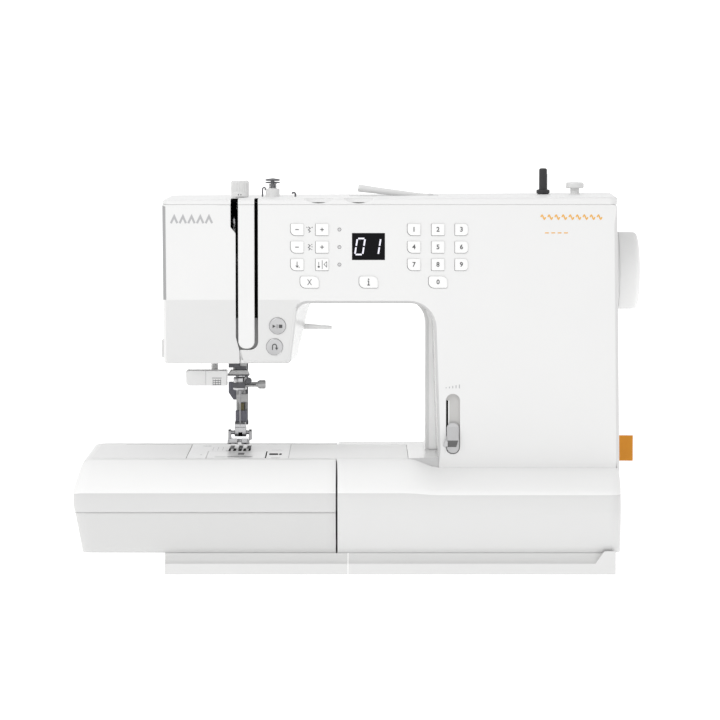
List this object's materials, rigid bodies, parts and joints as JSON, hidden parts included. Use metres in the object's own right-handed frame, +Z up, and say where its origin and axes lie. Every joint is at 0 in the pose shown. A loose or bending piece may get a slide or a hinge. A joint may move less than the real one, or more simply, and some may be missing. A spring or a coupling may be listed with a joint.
{
  "type": "sewing machine",
  "caption": "Free-arm household sewing machine with a front keypad and display, a slide-off accessory tray, a handwheel, and a drop-in bobbin under the bed.",
  "frame": {"origin": "middle of the bounding box, on the table under the feet", "axes": "+X to the right seen from the operator, +Y to the back, +Z up"},
  "size_m": [0.414, 0.176, 0.2915],
  "materials": {
    "white_gloss": "glossy moulded plastic",
    "key_white": "satin keys",
    "light_grey": "satin plastic",
    "brushed_plate": "fine brushed",
    "rubber_grey": "matte",
    "cast_frame": "as cast",
    "motor_dark": "satin",
    "display_black": "glossy window",
    "dark_metal": "satin black",
    "steel": "machined",
    "chrome": "polished",
    "dark_plastic": "matte",
    "bobbin_clear": "translucent",
    "button_silver": "silver painted"
  },
  "bodies": {
    "machine": {"base_plinth": "white_gloss", "rubber_feet": "rubber_grey", "lower_front_cover": "white_gloss", "front_cover": "white_gloss", "rear_cover": "white_gloss", "top_cover": "white_gloss", "face_cover": "white_gloss", "free_arm": "light_grey", "needle_plate": "brushed_plate", "main_frame": "cast_frame", "drive_motor": "motor_dark", "display_module": "display_black", "thread_guides": "dark_metal", "cover_screws": "steel", "inlet_panel": "dark_plastic", "winder_stop": "white_gloss"},
    "drive": {"handwheel": "white_gloss", "main_shaft": "steel"},
    "needle": {"needle_bar": "chrome", "needle_clamp": "chrome"},
    "motor_pulley": {"motor_pulley": "steel"},
    "lower_shaft": {"lower_shaft": "steel"},
    "rotary_hook": {"rotary_hook": "steel"},
    "bobbin": {"bobbin": "bobbin_clear"},
    "take_up_lever": {"take_up_lever": "chrome"},
    "presser_lever": {"presser_lever": "white_gloss"},
    "presser_bar": {"presser_bar": "chrome"},
    "presser_foot": {"presser_foot": "chrome"},
    "dual_feed_arm": {"dual_feed_arm": "dark_metal"},
    "needle_threader": {"needle_threader": "white_gloss"},
    "feed_dog": {"feed_dog": "steel"},
    "accessory_tray": {"accessory_tray": "white_gloss"},
    "tray_front": {"tray_front": "white_gloss"},
    "bobbin_cover": {"bobbin_cover": "brushed_plate"},
    "tension_dial": {"tension_dial": "white_gloss"},
    "spool_pin": {"spool_pin": "white_gloss"},
    "winder_spindle": {"winder_spindle": "dark_plastic"},
    "speed_slider": {"speed_slider": "button_silver"},
    "start_stop_button": {"start_stop_button": "button_silver"},
    "reverse_button": {"reverse_button": "button_silver"},
    "power_switch": {"power_switch": "dark_plastic"},
    "carry_handle": {"carry_handle": "white_gloss"},
    "key_1": {"key_1": "key_white"},
    "key_2": {"key_2": "key_white"},
    "key_3": {"key_3": "key_white"},
    "key_4": {"key_4": "key_white"},
    "key_5": {"key_5": "key_white"},
    "key_6": {"key_6": "key_white"},
    "key_7": {"key_7": "key_white"},
    "key_8": {"key_8": "key_white"},
    "key_9": {"key_9": "key_white"},
    "key_0": {"key_0": "key_white"},
    "key_width_minus": {"key_width_minus": "key_white"},
    "key_width_plus": {"key_width_plus": "key_white"},
    "key_length_minus": {"key_length_minus": "key_white"},
    "key_length_plus": {"key_length_plus": "key_white"},
    "key_needle": {"key_needle": "key_white"},
    "key_mirror": {"key_mirror": "key_white"},
    "key_tie_off": {"key_tie_off": "key_white"},
    "key_info": {"key_info": "key_white"}
  },
  "joints": [
    {"name": "handwheel_turn", "type": "hinge", "parent": "machine", "child": "drive", "pos_m": [0.1, 0.008, 0.216], "axis": [1, 0, 0], "continuous": true},
    {"name": "motor_turn", "type": "hinge", "parent": "machine", "child": "motor_pulley", "pos_m": [0.145, 0.005, 0.118], "axis": [1, 0, 0], "continuous": true},
    {"name": "lower_shaft_turn", "type": "hinge", "parent": "machine", "child": "lower_shaft", "pos_m": [0, 0.0013, 0.062], "axis": [1, 0, 0], "continuous": true},
    {"name": "hook_turn", "type": "hinge", "parent": "machine", "child": "rotary_hook", "pos_m": [-0.0892, -0.0109, 0.07], "axis": [0, 0, 1], "continuous": true},
    {"name": "bobbin_turn", "type": "hinge", "parent": "machine", "child": "bobbin", "pos_m": [-0.0892, -0.0109, 0.076], "axis": [0, 0, 1], "continuous": true},
    {"name": "needle_stroke", "type": "slide", "parent": "machine", "child": "needle", "axis": [0, 0, 1], "range_m": [-0.029, 0]},
    {"name": "take_up_swing", "type": "hinge", "parent": "machine", "child": "take_up_lever", "pos_m": [-0.092, -0.012, 0.226], "axis": [1, 0, 0], "range_deg": [0, 75]},
    {"name": "foot_lifter", "type": "hinge", "parent": "machine", "child": "presser_lever", "pos_m": [-0.07, 0.04, 0.178], "axis": [0, 1, 0], "range_deg": [-20, 42]},
    {"name": "presser_bar_slide", "type": "slide", "parent": "machine", "child": "presser_bar", "axis": [0, 0, 1], "range_m": [-0.0041, 0.0019]},
    {"name": "foot_tilt", "type": "hinge", "parent": "presser_bar", "child": "presser_foot", "pos_m": [-0.09, 0.018, 0.0945], "axis": [-1, 0, 0], "range_deg": [0, 12]},
    {"name": "dual_feed_swing", "type": "hinge", "parent": "machine", "child": "dual_feed_arm", "pos_m": [-0.09, 0.0365, 0.168], "axis": [1, 0, 0], "range_deg": [0, 20]},
    {"name": "threader_pull", "type": "slide", "parent": "machine", "child": "needle_threader", "axis": [0, 0, 1], "range_m": [-0.03, 0], "stiffness_N_per_m": 40, "springref_m": 0.01},
    {"name": "feed_stroke", "type": "slide", "parent": "machine", "child": "feed_dog", "axis": [0, 1, 0], "range_m": [-0.0025, 0.0025]},
    {"name": "tray_slide", "type": "slide", "parent": "machine", "child": "accessory_tray", "axis": [-1, 0, 0], "range_m": [0, 0.14]},
    {"name": "tray_front_drop", "type": "hinge", "parent": "accessory_tray", "child": "tray_front", "pos_m": [-0.11, -0.088, 0.04615], "axis": [1, 0, 0], "range_deg": [0, 95]},
    {"name": "bobbin_cover_lift", "type": "hinge", "parent": "machine", "child": "bobbin_cover", "pos_m": [-0.1118, -0.036, 0.083], "axis": [0, -1, 0], "range_deg": [0, 75]},
    {"name": "tension_turn", "type": "hinge", "parent": "machine", "child": "tension_dial", "pos_m": [-0.08815, -0.015, 0.277], "axis": [0, 0, 1], "range_deg": [-150, 150]},
    {"name": "spool_pin_raise", "type": "hinge", "parent": "machine", "child": "spool_pin", "pos_m": [0.052, 0.01, 0.27], "axis": [0, 1, 0], "range_deg": [0, 82.5]},
    {"name": "winder_turn", "type": "hinge", "parent": "machine", "child": "winder_spindle", "pos_m": [0.1361, 0.02, 0.28], "axis": [0, 0, 1], "continuous": true},
    {"name": "speed_set", "type": "slide", "parent": "machine", "child": "speed_slider", "axis": [0, 0, 1], "range_m": [0, 0.0205]},
    {"name": "start_stop_press", "type": "slide", "parent": "machine", "child": "start_stop_button", "axis": [0, 1, 0], "range_m": [0, 0.0015], "stiffness_N_per_m": 300, "springref_m": -0.001},
    {"name": "reverse_press", "type": "slide", "parent": "machine", "child": "reverse_button", "axis": [0, 1, 0], "range_m": [0, 0.0015], "stiffness_N_per_m": 300, "springref_m": -0.001},
    {"name": "power_rock", "type": "hinge", "parent": "machine", "child": "power_switch", "pos_m": [0.19, 0.029, 0.061], "axis": [0, 1, 0], "range_deg": [0, 12]},
    {"name": "handle_swing", "type": "hinge", "parent": "machine", "child": "carry_handle", "pos_m": [0, 0.0782, 0.258], "axis": [1, 0, 0], "range_deg": [0, 165]},
    {"name": "key_1_press", "type": "slide", "parent": "machine", "child": "key_1", "axis": [0, 1, 0], "range_m": [0, 0.0008], "stiffness_N_per_m": 300, "springref_m": -0.0005},
    {"name": "key_2_press", "type": "slide", "parent": "machine", "child": "key_2", "axis": [0, 1, 0], "range_m": [0, 0.0008], "stiffness_N_per_m": 300, "springref_m": -0.0005},
    {"name": "key_3_press", "type": "slide", "parent": "machine", "child": "key_3", "axis": [0, 1, 0], "range_m": [0, 0.0008], "stiffness_N_per_m": 300, "springref_m": -0.0005},
    {"name": "key_4_press", "type": "slide", "parent": "machine", "child": "key_4", "axis": [0, 1, 0], "range_m": [0, 0.0008], "stiffness_N_per_m": 300, "springref_m": -0.0005},
    {"name": "key_5_press", "type": "slide", "parent": "machine", "child": "key_5", "axis": [0, 1, 0], "range_m": [0, 0.0008], "stiffness_N_per_m": 300, "springref_m": -0.0005},
    {"name": "key_6_press", "type": "slide", "parent": "machine", "child": "key_6", "axis": [0, 1, 0], "range_m": [0, 0.0008], "stiffness_N_per_m": 300, "springref_m": -0.0005},
    {"name": "key_7_press", "type": "slide", "parent": "machine", "child": "key_7", "axis": [0, 1, 0], "range_m": [0, 0.0008], "stiffness_N_per_m": 300, "springref_m": -0.0005},
    {"name": "key_8_press", "type": "slide", "parent": "machine", "child": "key_8", "axis": [0, 1, 0], "range_m": [0, 0.0008], "stiffness_N_per_m": 300, "springref_m": -0.0005},
    {"name": "key_9_press", "type": "slide", "parent": "machine", "child": "key_9", "axis": [0, 1, 0], "range_m": [0, 0.0008], "stiffness_N_per_m": 300, "springref_m": -0.0005},
    {"name": "key_0_press", "type": "slide", "parent": "machine", "child": "key_0", "axis": [0, 1, 0], "range_m": [0, 0.0008], "stiffness_N_per_m": 300, "springref_m": -0.0005},
    {"name": "key_width_minus_press", "type": "slide", "parent": "machine", "child": "key_width_minus", "axis": [0, 1, 0], "range_m": [0, 0.0008], "stiffness_N_per_m": 300, "springref_m": -0.0005},
    {"name": "key_width_plus_press", "type": "slide", "parent": "machine", "child": "key_width_plus", "axis": [0, 1, 0], "range_m": [0, 0.0008], "stiffness_N_per_m": 300, "springref_m": -0.0005},
    {"name": "key_length_minus_press", "type": "slide", "parent": "machine", "child": "key_length_minus", "axis": [0, 1, 0], "range_m": [0, 0.0008], "stiffness_N_per_m": 300, "springref_m": -0.0005},
    {"name": "key_length_plus_press", "type": "slide", "parent": "machine", "child": "key_length_plus", "axis": [0, 1, 0], "range_m": [0, 0.0008], "stiffness_N_per_m": 300, "springref_m": -0.0005},
    {"name": "key_needle_press", "type": "slide", "parent": "machine", "child": "key_needle", "axis": [0, 1, 0], "range_m": [0, 0.0008], "stiffness_N_per_m": 300, "springref_m": -0.0005},
    {"name": "key_mirror_press", "type": "slide", "parent": "machine", "child": "key_mirror", "axis": [0, 1, 0], "range_m": [0, 0.0008], "stiffness_N_per_m": 300, "springref_m": -0.0005},
    {"name": "key_tie_off_press", "type": "slide", "parent": "machine", "child": "key_tie_off", "axis": [0, 1, 0], "range_m": [0, 0.0008], "stiffness_N_per_m": 300, "springref_m": -0.0005},
    {"name": "key_info_press", "type": "slide", "parent": "machine", "child": "key_info", "axis": [0, 1, 0], "range_m": [0, 0.0008], "stiffness_N_per_m": 300, "springref_m": -0.0005}
  ],
  "couplings": [
    {"joint": "motor_turn", "follows": "handwheel_turn", "ratio": 3.7143},
    {"joint": "lower_shaft_turn", "follows": "handwheel_turn", "ratio": 1},
    {"joint": "hook_turn", "follows": "handwheel_turn", "ratio": 2},
    {"joint": "take_up_swing", "follows": "needle_stroke", "rad_per_m": -45},
    {"joint": "foot_lifter", "follows": "presser_bar_slide", "rad_per_m": -175.4}
  ]
}
